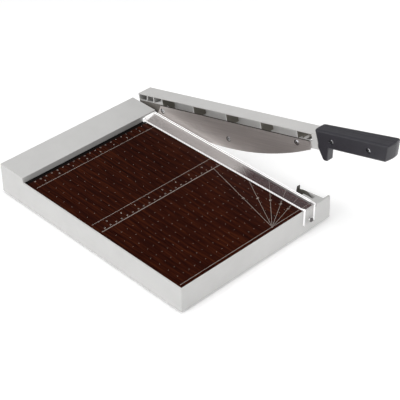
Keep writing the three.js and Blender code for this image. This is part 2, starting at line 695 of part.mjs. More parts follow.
function cuttingBlade() {
  const outline = [
    [35.5, BLADE_TOP], ...crescent(BLADE_HEEL, BLADE_TOE, 0, BLADE_TOP, 40), [334.5, BLADE_TOP - 0.5],
  ];
  const plate = armPlate(outline, BLADE_LEFT, BLADE_RIGHT);
  const holes = BLADE_SCREWS.flatMap(([u, z]) => [
    countersinkX(BLADE_SCREW_SIZE, BLADE_LEFT - 0.05, -u, z, -1),
    rodX(BLADE_SCREW_SIZE.shankRadius + GAP, BLADE_LEFT - 1, BLADE_RIGHT + 1, -u, z),
  ]);
  return cut(plate, ...holes);
}

function buildArm() {
  addMesh(arm, 'arm_casting', armCasting(), materials.casting);
  const bush = ringX(BUSH_RADIUS, BOLT_RADIUS + GAP, ARM_LEFT + 0.2, ARM_RIGHT - 0.2, 0, 0);
  addMesh(arm, 'pivot_bush', bush, materials.bronze);
  addMesh(arm, 'cutting_blade', cuttingBlade(), materials.blade);
  BLADE_SCREWS.forEach(([u, z], i) => {
    const piece = addMesh(arm, `blade_screw_${i + 1}`, screw(BLADE_SCREW_SIZE), materials.screw);
    piece.position.set(BLADE_LEFT + 0.15, -u, z);
    piece.rotation.y = -Math.PI / 2;
  });
  const catchPin = rodX(CATCH.radius, ARM_LEFT + 0.2, ARM_RIGHT - 0.2, -CATCH.u, CATCH.z);
  addMesh(arm, 'catch_pin', catchPin, materials.spring);
}

// ---- handle ----

// The grip seen from above, in x and y, without its leaning rear and end faces.
function gripPlan() {
  const [rear, end, corner] = [-HANDLE_REAR, -HANDLE_END, HANDLE_CORNER];
  const shape = new THREE.Shape();
  shape.moveTo(HANDLE_LEFT, end);
  shape.lineTo(HANDLE_LEFT, rear - corner);
  shape.quadraticCurveTo(HANDLE_LEFT, rear, HANDLE_LEFT + corner, rear);
  shape.lineTo(HANDLE_REAR_RIGHT - corner, rear);
  shape.quadraticCurveTo(HANDLE_REAR_RIGHT, rear, HANDLE_REAR_RIGHT + 0.2, rear - corner);
  shape.lineTo(HANDLE_END_RIGHT, end + corner);
  shape.quadraticCurveTo(HANDLE_END_RIGHT + 0.2, end - 0.6, HANDLE_END_RIGHT - corner, end - 1.8);
  shape.quadraticCurveTo(HANDLE_SEAM, end - HANDLE_BULGE - 1.4, HANDLE_LEFT, end);
  return shape;
}

// Turned end edges all round the top and bottom, with the rear and end faces leant over.
function grip() {
  const bevel = HANDLE_EDGE_RADIUS;
  const geometry = new THREE.ExtrudeGeometry(gripPlan(), {
    depth: HANDLE_TOP - HANDLE_BOTTOM - 2 * bevel,
    bevelEnabled: true,
    bevelThickness: bevel,
    bevelSize: bevel,
    bevelOffset: -bevel,
    bevelSegments: 5,
    curveSegments: 8,
  });
  geometry.translate(0, 0, HANDLE_BOTTOM + bevel);
  const position = geometry.attributes.position;
  const middle = -(HANDLE_REAR + HANDLE_END) / 2;
  for (let i = 0; i < position.count; i += 1) {
    const y = position.getY(i);
    const lean = y > middle ? HANDLE_LEAN.rear : HANDLE_LEAN.end;
    position.setY(i, y + lean * (HANDLE_TOP - position.getZ(i)));
  }
  return solid(geometry);
}

function fingerHook() {
  const outline = armShape([
    [348.6, 19], [348.3, 13.2], [353.7, -1.8], [355.3, -3.6], [357.3, -4.1], [361, -4], [361.5, -3.2],
    [366, 13.4], [366.3, 19],
  ]);
  return plateX(outline, HANDLE_LEFT, HOOK_RIGHT, 0.8, 2);
}

function tangPocket() {
  return armBox(
    TANG.left - GAP, TANG.right + GAP, 340, TANG.end + GAP, TANG.bottom - GAP, TANG.top + GAP,
  );
}

function handleShell(isLeft) {
  const side = isLeft
    ? armBox(HANDLE_LEFT - 1, HANDLE_SEAM - GAP / 2, 340, 480, -10, 50)
    : armBox(HANDLE_SEAM + GAP / 2, HANDLE_END_RIGHT + 2, 340, 480, -10, 50);
  const half = grip().intersect(side);
  const body = isLeft ? half.add(fingerHook()) : half;
  const { headRadius, headHeight, shankRadius, length } = HANDLE_SCREW_SIZE;
  const seat = HANDLE_LEFT + HANDLE_RECESS + headHeight + GAP;
  const screwHoles = HANDLE_SCREWS.map(([u, z]) => rodX(
    shankRadius + GAP, seat - 1, HANDLE_LEFT + HANDLE_RECESS + length + GAP, -u, z,
  ));
  const headRecesses = HANDLE_SCREWS.map(([u, z]) => rodX(
    headRadius + GAP + 0.1, HANDLE_LEFT - 1, seat, -u, z,
  ));
  return cut(body, tangPocket(), ...screwHoles, ...headRecesses);
}

function buildHandle() {
  addMesh(arm, 'handle_left_shell', handleShell(true), materials.handle);
  addMesh(arm, 'handle_right_shell', handleShell(false), materials.handle);
  HANDLE_SCREWS.forEach(([u, z], i) => {
    const piece = addMesh(arm, `handle_screw_${i + 1}`, screw(HANDLE_SCREW_SIZE), materials.screw);
    piece.position.set(HANDLE_LEFT + HANDLE_RECESS, -u, z);
    piece.rotation.y = -Math.PI / 2;
  });
}

buildBase();
buildFeet();
buildPivot();
buildLatch();
buildArm();
buildHandle();

// The origin is the middle of the underside of the whole cutter, with the arm raised as at rest.
cutter.updateMatrixWorld(true);
const bounds = new THREE.Box3().setFromObject(cutter, true);
const middle = bounds.getCenter(new THREE.Vector3());
cutter.position.set(-middle.x, -middle.y, -bounds.min.z);

export default cutter;
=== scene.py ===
import json
import math

import bmesh
import bpy
from mathutils import Matrix, Vector


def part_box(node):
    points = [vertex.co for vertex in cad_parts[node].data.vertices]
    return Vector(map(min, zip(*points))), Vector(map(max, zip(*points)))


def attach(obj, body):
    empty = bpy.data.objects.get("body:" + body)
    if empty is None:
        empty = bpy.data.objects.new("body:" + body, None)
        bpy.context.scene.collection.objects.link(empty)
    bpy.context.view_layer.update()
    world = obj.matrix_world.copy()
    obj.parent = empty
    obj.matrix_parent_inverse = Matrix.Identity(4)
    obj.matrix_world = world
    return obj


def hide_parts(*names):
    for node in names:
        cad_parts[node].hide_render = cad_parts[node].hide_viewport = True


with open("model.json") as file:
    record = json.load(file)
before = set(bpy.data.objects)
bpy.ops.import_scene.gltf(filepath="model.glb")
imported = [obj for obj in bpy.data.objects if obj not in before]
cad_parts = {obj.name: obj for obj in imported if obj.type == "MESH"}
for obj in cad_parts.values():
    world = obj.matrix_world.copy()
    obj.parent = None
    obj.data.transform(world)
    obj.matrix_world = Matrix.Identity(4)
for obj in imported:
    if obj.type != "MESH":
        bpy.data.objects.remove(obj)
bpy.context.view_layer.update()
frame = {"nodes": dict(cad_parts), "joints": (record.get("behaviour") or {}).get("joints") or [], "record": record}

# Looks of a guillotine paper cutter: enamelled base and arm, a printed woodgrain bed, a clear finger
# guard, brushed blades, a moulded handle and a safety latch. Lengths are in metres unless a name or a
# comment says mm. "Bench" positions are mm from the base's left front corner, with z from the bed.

NODES = frame["nodes"]
MM = 0.001

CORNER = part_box("base_shell")[0]
BED_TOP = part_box("bed_board")[1].z
BASE_HEIGHT = 38.0  # mm from the base's rim up to the bed

ARM_JOINT = next(j for j in frame["joints"] if j["name"] == "arm_pivot")
ARM_TILT = -math.radians(ARM_JOINT["range_deg"][0])  # the arm's rise above level at rest
ARM_FRAME = Matrix.Translation(ARM_JOINT["pos_m"]) @ Matrix.Rotation(-ARM_TILT, 4, "X")

INK_THICKNESS, INK_SINK = 0.06 * MM, 0.02 * MM  # above and below the bed's surface
WHITE = (1.0, 1.0, 1.0, 1.0)


def bench(x, y, z=0.0):
    return Vector((CORNER.x + x * MM, CORNER.y + y * MM, BED_TOP + z * MM))


# ---- materials ----

class Shading:
    """A node material with a Principled shader, and short calls for the nodes that feed it."""

    def __init__(self, name, **settings):
        self.material = bpy.data.materials.new(name)
        self.material.use_nodes = True
        self.tree = self.material.node_tree
        self.shader = next(n for n in self.tree.nodes if n.type == "BSDF_PRINCIPLED")
        self.place = self.node("ShaderNodeTexCoord").outputs["Object"]
        for key, value in settings.items():
            self.shader.inputs[key.replace("_", " ")].default_value = value

    def node(self, kind, **settings):
        made = self.tree.nodes.new(kind)
        for key, value in settings.items():
            setattr(made, key, value)
        return made

    def link(self, source, target):
        self.tree.links.new(source, target)

    def stretched(self, scale, turn=(0, 0, 0), start=(0, 0, 0)):
        """Coordinates measured from start in a turned frame, then multiplied by the scale."""
        mapping = self.node("ShaderNodeMapping", vector_type="TEXTURE")
        mapping.inputs["Location"].default_value = start
        mapping.inputs["Rotation"].default_value = turn
        mapping.inputs["Scale"].default_value = [1 / s for s in scale]
        self.link(self.place, mapping.inputs["Vector"])
        return mapping.outputs["Vector"]

    def parts(self, vector):
        made = self.node("ShaderNodeSeparateXYZ")
        self.link(vector, made.inputs["Vector"])
        return made.outputs["X"], made.outputs["Y"], made.outputs["Z"]

    def noise(self, scale, detail=2.0, roughness=0.5, distortion=0.0, place=None):
        made = self.node("ShaderNodeTexNoise")
        made.inputs["Scale"].default_value = scale
        made.inputs["Detail"].default_value = detail
        made.inputs["Roughness"].default_value = roughness
        made.inputs["Distortion"].default_value = distortion
        self.link(place or self.place, made.inputs["Vector"])
        return made.outputs["Fac"]

    def ramp(self, value, stops):
        made = self.node("ShaderNodeValToRGB")
        elements = made.color_ramp.elements
        while len(elements) < len(stops):
            elements.new(0.5)
        for element, (position, color) in zip(elements, stops):
            element.position = position
            element.color = (*color, 1.0)
        self.link(value, made.inputs["Fac"])
        return made.outputs["Color"]

    def spread(self, value, low, high):
        made = self.node("ShaderNodeMapRange")
        made.inputs["From Min"].default_value = 0.3
        made.inputs["From Max"].default_value = 0.7
        made.inputs["To Min"].default_value = low
        made.inputs["To Max"].default_value = high
        self.link(value, made.inputs["Value"])
        return made.outputs["Result"]

    def math(self, operation, a, b):
        made = self.node("ShaderNodeMath", operation=operation)
        for socket, value in zip(made.inputs, (a, b)):
            if isinstance(value, (int, float)):
                socket.default_value = value
            else:
                self.link(value, socket)
        return made.outputs["Value"]

    def weighted(self, *terms):
        """The sum of (value, weight) terms, added from the first to the last."""
        total = None
        for value, weight in terms:
            part = self.math("MULTIPLY", value, weight)
            total = part if total is None else self.math("ADD", total, part)
        return total

    def between(self, value, low, high):
        above = self.math("GREATER_THAN", value, low)
        below = self.math("LESS_THAN", value, high)
        return self.math("MULTIPLY", above, below)

    def mixed(self, factor, first, color):
        made = self.node("ShaderNodeMixRGB")
        self.link(factor, made.inputs["Fac"])
        self.link(first, made.inputs["Color1"])
        made.inputs["Color2"].default_value = (*color, 1.0)
        return made.outputs["Color"]

    def color(self, output):
        self.link(output, self.shader.inputs["Base Color"])

    def roughness(self, output):
        self.link(output, self.shader.inputs["Roughness"])

    def bump(self, *layers):
        """Stacks (height, strength, distance) layers into the shader's normal."""
        previous = None
        for height, strength, distance in layers:
            made = self.node("ShaderNodeBump")
            made.inputs["Strength"].default_value = strength
            made.inputs["Distance"].default_value = distance
            self.link(height, made.inputs["Height"])
            if previous is not None:
                self.link(previous, made.inputs["Normal"])
            previous = made.outputs["Normal"]
        self.link(previous, self.shader.inputs["Normal"])


def shade(color, factor):
    return tuple(min(1.0, c * factor) for c in color)


def enamel(name, color, roughness, shade_painting=None):
    """Baked enamel: a faint mottle in the colour, a fine grain in the gloss and a slight orange peel.

    The last argument, if given, paints shade into the colour where the enamel lies in shadow.
    """
    s = Shading(name, Roughness=roughness)
    mottle = s.noise(28.0, 4.0, 0.6)
    tone = s.ramp(mottle, [(0.3, shade(color, 0.965)), (0.7, shade(color, 1.03))])
    s.color(shade_painting(s, tone) if shade_painting else tone)
    s.roughness(s.spread(s.noise(1600.0, 2.0), roughness - 0.06, roughness + 0.06))
    s.bump((s.noise(420.0, 2.0), 0.06, 0.4 * MM), (s.noise(2600.0, 1.0), 0.05, 0.08 * MM))
    return s.material


# Where shade is painted into the arm's enamel, in the arm's own frame: metres from the pivot, and the shaded
# colours.
RIB_SPAN = (-0.336, -0.0378)
WINDOW_SPAN = (-0.3095, -0.0375)
POCKET_DEPTH = 0.010
EAR_FRONT, EAR_TOP, EAR_DEPTH = -0.0368, 0.0196, 0.002
SHADED_WEB_TONE = (0.30, 0.28, 0.25)
SHADED_RIB_TONE = (0.20, 0.185, 0.155)
SHADED_EAR_TONE = (0.17, 0.155, 0.14)


def bare_pockets(s, tone):
    """Paints shade into the arm's enamel: darker tones on its ribs and end pockets, and on the ear at the pivot.
    """
    arm_y = ARM_FRAME.to_3x3() @ Vector((0, 1, 0))
    x, y, z = s.parts(s.stretched((1, 1, 1), (-ARM_TILT, 0, 0), ARM_JOINT["pos_m"]))
    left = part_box("arm_casting")[0].x - ARM_JOINT["pos_m"][0]
    facing = s.node("ShaderNodeTexCoord").outputs["Normal"]
    along = s.node("ShaderNodeVectorMath", operation="DOT_PRODUCT")
    s.link(facing, along.inputs[0])
    along.inputs[1].default_value = arm_y
    across = s.math("ABSOLUTE", along.outputs["Value"], 0.0)
    faces_left = s.math("LESS_THAN", s.parts(facing)[0], -0.7)
    ribs = s.math("MULTIPLY", s.math("GREATER_THAN", across, 0.75), s.between(y, *RIB_SPAN))
    end_pockets = s.math("SUBTRACT", 1.0, s.between(y, *WINDOW_SPAN))
    deep = s.math("MULTIPLY", faces_left, s.math("GREATER_THAN", x, left + POCKET_DEPTH))
    webs = s.math("MULTIPLY", deep, end_pockets)
    ear = s.math("MULTIPLY", s.math("GREATER_THAN", y, EAR_FRONT), s.math("LESS_THAN", z, EAR_TOP))
    outer = s.math("MULTIPLY", faces_left, s.math("LESS_THAN", x, left + EAR_DEPTH))
    ear = s.math("MULTIPLY", ear, outer)
    # Painted shade: the pocket webs, the ribs and the ear take darker tones where shade falls.
    tone = s.mixed(webs, tone, SHADED_WEB_TONE)
    tone = s.mixed(ribs, tone, SHADED_RIB_TONE)
    return s.mixed(ear, tone, SHADED_EAR_TONE)


RULE_SHADOW_WIDTH = 6.2 * MM  # width of the painted shadow along the foot of the rule


def laminate(name):
    """Dark woodgrain with a low sheen: long figure along Y, broad arches, faint bands and fine pores, and a
    painted shadow along the foot of the rule.
    """
    s = Shading(name, Roughness=0.3, Specular_IOR_Level=0.04, Coat_Weight=0.02, Coat_Roughness=0.1)
    long_grain = s.stretched((1.0, 0.035, 1.0))
    arched = s.stretched((1.0, 0.14, 1.0))
    wide = s.noise(60.0, 3.0, 0.55, 0.8, arched)
    streaks = s.noise(520.0, 5.0, 0.65, 0.2, long_grain)
    fine = s.noise(900.0, 3.0, 0.6, 0.0, long_grain)
    rings = s.node("ShaderNodeTexWave", wave_type="BANDS", bands_direction="X")
    rings.inputs["Scale"].default_value = 40.0
    rings.inputs["Distortion"].default_value = 11.0
    rings.inputs["Detail"].default_value = 3.0
    rings.inputs["Detail Scale"].default_value = 1.2
    s.link(arched, rings.inputs["Vector"])
    figure = s.weighted((wide, 0.14), (streaks, 0.44), (fine, 0.35), (rings.outputs["Fac"], 0.07))
    grain = s.ramp(figure, [
        (0.40, (0.0110, 0.0014, 0.0004)),
        (0.48, (0.0200, 0.0028, 0.0008)),
        (0.53, (0.0290, 0.0048, 0.0012)),
        (0.62, (0.0520, 0.0112, 0.0030)),
    ])
    # Painted shadow: a near-black strip on the bed along the foot of the rule.
    rule_shadow = s.math("GREATER_THAN", s.parts(s.place)[1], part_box("bed_board")[1].y - RULE_SHADOW_WIDTH)
    s.color(s.mixed(rule_shadow, grain, (0.004, 0.003, 0.003)))
    s.roughness(s.spread(fine, 0.26, 0.36))
    s.bump((fine, 0.05, 0.03 * MM))
    return s.material


def brushed(name, color, roughness, along, turn=(0, 0, 0), depth=0.5):
    """Brushed or ground steel. along is the axis of the brushing, in the turned frame."""
    s = Shading(name, Metallic=1.0, Roughness=roughness)
    scale = [1.0, 1.0, 1.0]
    scale["XYZ".index(along)] = 0.02
    lines = s.stretched(scale, turn)
    scratch = s.noise(2600.0, 3.0, 0.7, 0.0, lines)
    broad = s.noise(800.0, 3.0, 0.6, 0.0, lines)
    cloud = s.noise(24.0, 3.0, 0.6)
    tone = s.weighted((broad, 0.5), (scratch, 0.3), (cloud, 0.2))
    s.color(s.ramp(tone, [(0.36, shade(color, 0.86)), (0.64, shade(color, 1.1))]))
    s.roughness(s.spread(scratch, roughness - 0.08, roughness + 0.1))
    s.bump((scratch, 0.12 * depth, 0.03 * MM), (broad, 0.1 * depth, 0.06 * MM))
    return s.material


def plated(name, color, roughness):
    """Plated metal, or dark metal that paints in shade or a dark reflection, cloudy in its colour and slightly
    uneven in its gloss.
    """
    s = Shading(name, Metallic=1.0, Roughness=roughness)
    cloud = s.noise(260.0, 3.0, 0.6)
    s.color(s.ramp(cloud, [(0.35, shade(color, 0.82)), (0.65, shade(color, 1.1))]))
    s.roughness(s.spread(s.noise(900.0, 2.0), roughness - 0.05, roughness + 0.08))
    s.bump((s.noise(700.0, 2.0), 0.08, 0.05 * MM))
    return s.material


def moulded(name, color, roughness):
    """Spark-eroded plastic: a fine even texture with a slight change of tone."""
    s = Shading(name, Roughness=roughness, Specular_IOR_Level=0.5)
    s.color(s.ramp(s.noise(60.0, 3.0), [(0.3, shade(color, 0.9)), (0.7, shade(color, 1.1))]))
    texture = s.noise(1500.0, 2.0, 0.6)
    s.roughness(s.spread(texture, roughness - 0.05, roughness + 0.07))
    s.bump((texture, 0.16, 0.06 * MM), (s.noise(300.0, 2.0), 0.04, 0.2 * MM))
    return s.material


REFLECTION_START_Y, REFLECTION_FULL_Y = 100, 140  # bench mm, between which the painted reflection of the blade sets in
CLEAR_ALPHA, REFLECTION_ALPHA = 0.10, 0.32  # the sheet's cover where it is clear, and what the full painted reflection adds
LOW_ALPHA = 0.25  # share of the cover that is left on the parts below the bed's surface


def clear_acrylic(name):
    """Clear sheet, clean in front, with a painted reflection of the blade as a brownish-grey cover that grows
    towards the rear; fine scuffs run along it.
    """
    s = Shading(name, Roughness=0.05, IOR=1.6, Specular_IOR_Level=1.0, Coat_Weight=0.6, Coat_Roughness=0.03)
    rearward = s.node("ShaderNodeMapRange", interpolation_type="SMOOTHSTEP")
    rearward.inputs["From Min"].default_value = bench(0, REFLECTION_START_Y).y
    rearward.inputs["From Max"].default_value = bench(0, REFLECTION_FULL_Y).y
    s.link(s.parts(s.place)[1], rearward.inputs["Value"])
    scuffs = s.noise(900.0, 3.0, 0.7, 0.0, s.stretched((1.0, 0.06, 1.0)))
    along = s.math("ADD", rearward.outputs["Result"], s.math("MULTIPLY", scuffs, 0.15))
    # Painted reflection of the blade: a brownish-grey colour and a thicker cover towards the rear.
    s.color(s.ramp(along, [(0.1, (0.30, 0.24, 0.25)), (0.9, (0.63, 0.59, 0.575))]))
    painted_reflection = s.math("ADD", s.math("MULTIPLY", along, REFLECTION_ALPHA), CLEAR_ALPHA)
    above_bed = s.math("GREATER_THAN", s.parts(s.place)[2], BED_TOP)
    cover = s.math("MAXIMUM", above_bed, LOW_ALPHA)
    s.link(s.math("MULTIPLY", painted_reflection, cover), s.shader.inputs["Alpha"])
    s.roughness(s.spread(scuffs, 0.03, 0.12))
    s.bump((scuffs, 0.03, 0.02 * MM))
    return s.material


def sawn_acrylic(name, alpha, painted_glow):
    """Sawn edges and ribs of clear acrylic, with a painted glow by emission that stands in for the light the sheet
    carries to them.
    """
    s = Shading(name, Roughness=0.35, Specular_IOR_Level=0.6, Alpha=alpha, Emission_Strength=painted_glow)
    s.shader.inputs["Emission Color"].default_value = WHITE
    s.color(s.ramp(s.noise(500.0, 3.0, 0.6), [(0.3, (0.90, 0.90, 0.91)), (0.7, (0.98, 0.98, 0.98))]))
    s.bump((s.noise(900.0, 3.0), 0.2, 0.05 * MM))
    return s.material


def ink(name, color):
    """Worn printing ink, darker where it is thin."""
    s = Shading(name, Roughness=0.5)
    s.color(s.ramp(s.noise(900.0, 3.0, 0.7), [(0.35, shade(color, 0.8)), (0.6, shade(color, 1.1))]))
    s.bump((s.noise(2200.0, 1.0), 0.1, 0.02 * MM))
    return s.material


def rubber(name):
    """Dull black rubber with a dusty mottle."""
    s = Shading(name, Roughness=0.8, Specular_IOR_Level=0.3)
    s.color(s.ramp(s.noise(120.0, 3.0), [(0.3, (0.010, 0.010, 0.011)), (0.7, (0.024, 0.024, 0.025))]))
    s.bump((s.noise(1200.0, 3.0), 0.25, 0.1 * MM))
    return s.material


MATERIALS = {
    "base_paint": enamel("base_enamel", (0.585, 0.581, 0.572), 0.42),
    "arm_paint": enamel("arm_enamel", (0.615, 0.608, 0.597), 0.40, bare_pockets),
    "bed_laminate": laminate("woodgrain_laminate"),
    "ledger_steel": brushed("ground_ledger", (0.55, 0.54, 0.53), 0.3, "Y"),
    "blade_steel": brushed("brushed_blade", (0.64, 0.60, 0.58), 0.5, "Y", (-ARM_TILT, 0, 0)),
    "clear_guard": clear_acrylic("clear_acrylic"),
    "screw_steel": plated("zinc_screw", (0.86, 0.87, 0.89), 0.3),
    "pivot_steel": plated("zinc_hardware", (0.60, 0.60, 0.60), 0.3),
    "bronze": plated("sintered_bronze", (0.45, 0.28, 0.13), 0.45),
    "handle_plastic": moulded("handle_plastic", (0.034, 0.033, 0.040), 0.31),
    "latch_plastic": moulded("latch_plastic", (0.060, 0.055, 0.045), 0.45),
    "foot_rubber": rubber("foot_rubber"),
}
GROUND_EDGE = brushed("ground_edge", (0.66, 0.65, 0.64), 0.22, "Z", (-ARM_TILT, 0, 0), 0.8)
# Painted light: both sawn acrylic looks glow by emission, though they are no lamp.
GLOWING_SAWN_EDGE = sawn_acrylic("sawn_acrylic", 0.94, 0.42)
GLOWING_RIBBED_TOP = sawn_acrylic("ribbed_acrylic", 0.62, 0.10)
# Painted shade: near-black metal for the walls of the screws' cross recesses, where shade falls.
SHADED_RECESS = plated("grimy_recess", (0.10, 0.095, 0.09), 0.6)
# Painted shade: dark steel for the blade's countersunk seats and its top face, standing in for the shade in the
# seats and along the gap under the arm.
SHADED_BLADE_STEEL = plated("dark_scale", (0.10, 0.09, 0.085), 0.6)
# Painted reflection: a dark copy of the screws' plated steel for the guard screw, which mirrors dark surroundings.
DARK_REFLECTION_STEEL = plated("blacked_steel", (0.16, 0.15, 0.15), 0.35)
PRINT_INK = ink("print_ink", (0.50, 0.46, 0.42))


# ---- meshes ----

def add_piece(name, mesh, body, slot=None, material=None):
    """An object that moves with a body. A mesh without a material takes the given one, or the slot's."""
    piece = bpy.data.objects.new(name, mesh)
    bpy.context.scene.collection.objects.link(piece)
    if material is None:
        material = MATERIALS[slot]
    if not piece.data.materials:
        piece.data.materials.append(material)
    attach(piece, body)
    return piece


def mesh_of(bm, name):
    """A mesh with outward normals made from bm, which is freed."""
    bmesh.ops.recalc_face_normals(bm, faces=bm.faces)
    mesh = bpy.data.meshes.new(name)
    bm.to_mesh(mesh)
    bm.free()
    return mesh


def smooth(mesh, angle=35.0):
    """Smooth faces, with edges kept sharp where they turn by more than the angle."""
    for face in mesh.polygons:
        face.use_smooth = True
    mesh.set_sharp_from_angle(angle=math.radians(angle))


def bevel(piece, width_mm, segments=3, angle=35.0):
    made = piece.modifiers.new("edge_rounding", "BEVEL")
    made.width = width_mm * MM
    made.segments = segments
    made.limit_method = "ANGLE"
    made.angle_limit = math.radians(angle)
    made.use_clamp_overlap = True
    made.harden_normals = True
    made.miter_outer = "MITER_ARC"


def evaluated(piece, name):
    """The mesh of a scratch object with its modifiers applied. The object and its data are removed."""
    bpy.context.view_layer.update()
    graph = bpy.context.evaluated_depsgraph_get()
    mesh = bpy.data.meshes.new_from_object(piece.evaluated_get(graph))
    mesh.name = name
    data = piece.data
    bpy.data.objects.remove(piece)
    if isinstance(data, bpy.types.Mesh):
        bpy.data.meshes.remove(data)
    else:
        bpy.data.curves.remove(data)
    return mesh


def scratch(data):
    """A helper object for a mesh or curve that is only needed for a while."""
    piece = bpy.data.objects.new("scratch", data)
    bpy.context.scene.collection.objects.link(piece)
    return piece


def cut_away(mesh, cutter_mesh, name, self_crossing=False):
    """A mesh less a cutter mesh. Both are used up."""
    body, cutter = scratch(mesh), scratch(cutter_mesh)
    made = body.modifiers.new("cut", "BOOLEAN")
    made.operation = "DIFFERENCE"
    made.solver = "EXACT"
    made.use_self = self_crossing
    made.object = cutter
    result = evaluated(body, name)
    bpy.data.objects.remove(cutter)
    bpy.data.meshes.remove(cutter_mesh)
    return result


def prism(bm, corners, low, high):
    """A closed prism on a list of XY corners, given anticlockwise."""
    bottom = [bm.verts.new((x, y, low)) for x, y in corners]
    top = [bm.verts.new((x, y, high)) for x, y in corners]
    count = len(corners)
    bm.faces.new(top)
    bm.faces.new(bottom[::-1])
    for i in range(count):
        j = (i + 1) % count
        bm.faces.new((bottom[i], bottom[j], top[j], top[i]))


def lathe(bm, profile, segments=32):
    """A closed solid turned about Z from (radius, height) points that start and end on the axis."""
    rings = []
    for radius, height in profile:
        if radius == 0:
            rings.append([bm.verts.new((0, 0, height))])
            continue
        rings.append([
            bm.verts.new((radius * math.cos(a), radius * math.sin(a), height))
            for a in (2 * math.pi * i / segments for i in range(segments))
        ])
    for lower, upper in zip(rings, rings[1:]):
        for i in range(segments):
            j = (i + 1) % segments
            a, b = i % len(lower), j % len(lower)
            c, d = j % len(upper), i % len(upper)
            unique = list(dict.fromkeys([lower[a], lower[b], upper[c], upper[d]]))
            if len(unique) > 2:
                bm.faces.new(unique)


# ---- printed bed ----

class Print:
    """Marks printed on the bed, gathered in one mesh of thin closed prisms. Positions are bench mm."""

    def __init__(self):
        self.bm = bmesh.new()
        self.low = BED_TOP - INK_SINK
        self.high = BED_TOP + INK_THICKNESS
        self.glyphs = {}

    def line(self, start, end, width):
        a, b = bench(*start), bench(*end)
        side = Vector((a.y - b.y, b.x - a.x, 0)).normalized() * (width * MM / 2)
        corners = [a - side, b - side, b + side, a + side]
        prism(self.bm, [(c.x, c.y) for c in corners][::-1], self.low, self.high)

    def dot(self, x, y, radius):
        centre = bench(x, y)
        corners = [
            (centre.x + radius * MM * math.cos(a), centre.y + radius * MM * math.sin(a))
            for a in (math.pi * i / 5 for i in range(10))
        ]
        prism(self.bm, corners, self.low, self.high)

    def glyph(self, text, size):
        key = (text, size)
        if key not in self.glyphs:
            curve = bpy.data.curves.new("numeral", "FONT")
            curve.body = text
            curve.size = size * MM
            curve.align_x = "CENTER"
            curve.align_y = "CENTER"
            curve.resolution_u = 3
            curve.offset = 0.035 * MM
            curve.extrude = (self.high - self.low) / 2
            self.glyphs[key] = evaluated(scratch(curve), "numeral")
        return self.glyphs[key]

    def write(self, text, x, y, size):
        mesh = self.glyph(text, size).copy()
        at = bench(x, y)
        at.z = (self.low + self.high) / 2
        mesh.transform(Matrix.Translation(at))
        self.bm.from_mesh(mesh)
        bpy.data.meshes.remove(mesh)

    def ticks(self, y, pitch, first, count, length_of, direction):
        """Ticks at whole pitches from the cutting edge, from the first up to the count."""
        for i in range(first, count):
            x = CUT_X - i * pitch
            self.line((x, y), (x, y + direction * length_of(i)), TICK_WIDTH)

    def finish(self, name):
        for mesh in self.glyphs.values():
            bpy.data.meshes.remove(mesh)
        return mesh_of(self.bm, name)


# The rulers, in bench mm.
INCH = 25.4
CUT_X = 252.4  # the cutting edge, where both scales start
LEFT_END, RIGHT_END = 5.8, 248.0
MID_CM_Y, MID_INCH_Y, TOP_INCH_Y = 156.5, 177.0, 293.0
TICK_WIDTH, FINE_RULE, BOLD_RULE = 0.17, 0.34, 0.55
FIRST_INCH_TICK, FIRST_CM_TICK = 6, 8  # the first ticks that clear the lower blade
INCH_TICKS, CM_TICKS = 155, 246
# Numerals: distance, count, shift towards the cutting edge, size, and the lines that they stand on.
INCH_NUMERALS = (INCH, 9, 2.5, 3.6, (169.9, 299.1))
CM_NUMERALS = (10, 24, 2.0, 2.7, (160.5, 307.0))


def inch_tick(i):
    """Length of a tick, i sixteenths of an inch from the cutting edge."""
    if i % 16 == 0:
        return 2.4
    if i % 8 == 0:
        return 1.9
    return 1.5 if i % 4 == 0 else (1.1 if i % 2 == 0 else 0.8)


def cm_tick(i):
    """Length of a tick, i millimetres from the cutting edge."""
    if i % 10 == 0:
        return 2.0
    return 1.5 if i % 5 == 0 else 1.0


def print_scales(marks):
    marks.ticks(MID_CM_Y, 1.0, FIRST_CM_TICK, CM_TICKS, cm_tick, 1)
    marks.ticks(MID_INCH_Y, INCH / 16, FIRST_INCH_TICK, INCH_TICKS, inch_tick, -1)
    marks.ticks(TOP_INCH_Y, INCH / 16, FIRST_INCH_TICK, INCH_TICKS, inch_tick, 1)
    for y, width in ((MID_CM_Y, BOLD_RULE), (MID_INCH_Y, FINE_RULE), (TOP_INCH_Y, FINE_RULE)):
        marks.line((LEFT_END, y), (RIGHT_END, y), width)
    for pitch, count, shift, size, lines in (INCH_NUMERALS, CM_NUMERALS):
        for i in range(1, count + 1):
            for y in lines:
                marks.write(str(i), CUT_X - i * pitch + shift, y, size)


# Dot grids: left column, pitch and count, then front row, pitch and count, in bench mm.
DOT_RADIUS = 0.38
DOT_GRIDS = (
    ((14.56, 10, 22), (21.84, 16.68, 8)),
    ((13.14, 12.7, 17), (194.25, 16.2, 6)),
)


def print_grid(marks):
    for (left, column_pitch, columns), (front, row_pitch, rows) in DOT_GRIDS:
        for i in range(columns):
            for j in range(rows):
                marks.dot(left + column_pitch * i, front + row_pitch * j, DOT_RADIUS)


# The protractor, in bench mm. The steepest line ends on the centimetre ruler, the others on the right.
APEX = Vector((174.4, 7.4))
BASE_LINE_LEFT, PROTRACTOR_RIGHT = 4.8, 248.2
BASE_LINE_WIDTH, RAY_WIDTH = 0.4, 0.32
RAY_ANGLES = (15, 30, 45, 60, 75)
RAY_START, NUMERAL_ROOM = 3.0, 2.6
ANGLE_NUMERAL_SIZE, APEX_DOT = 4.2, 1.1


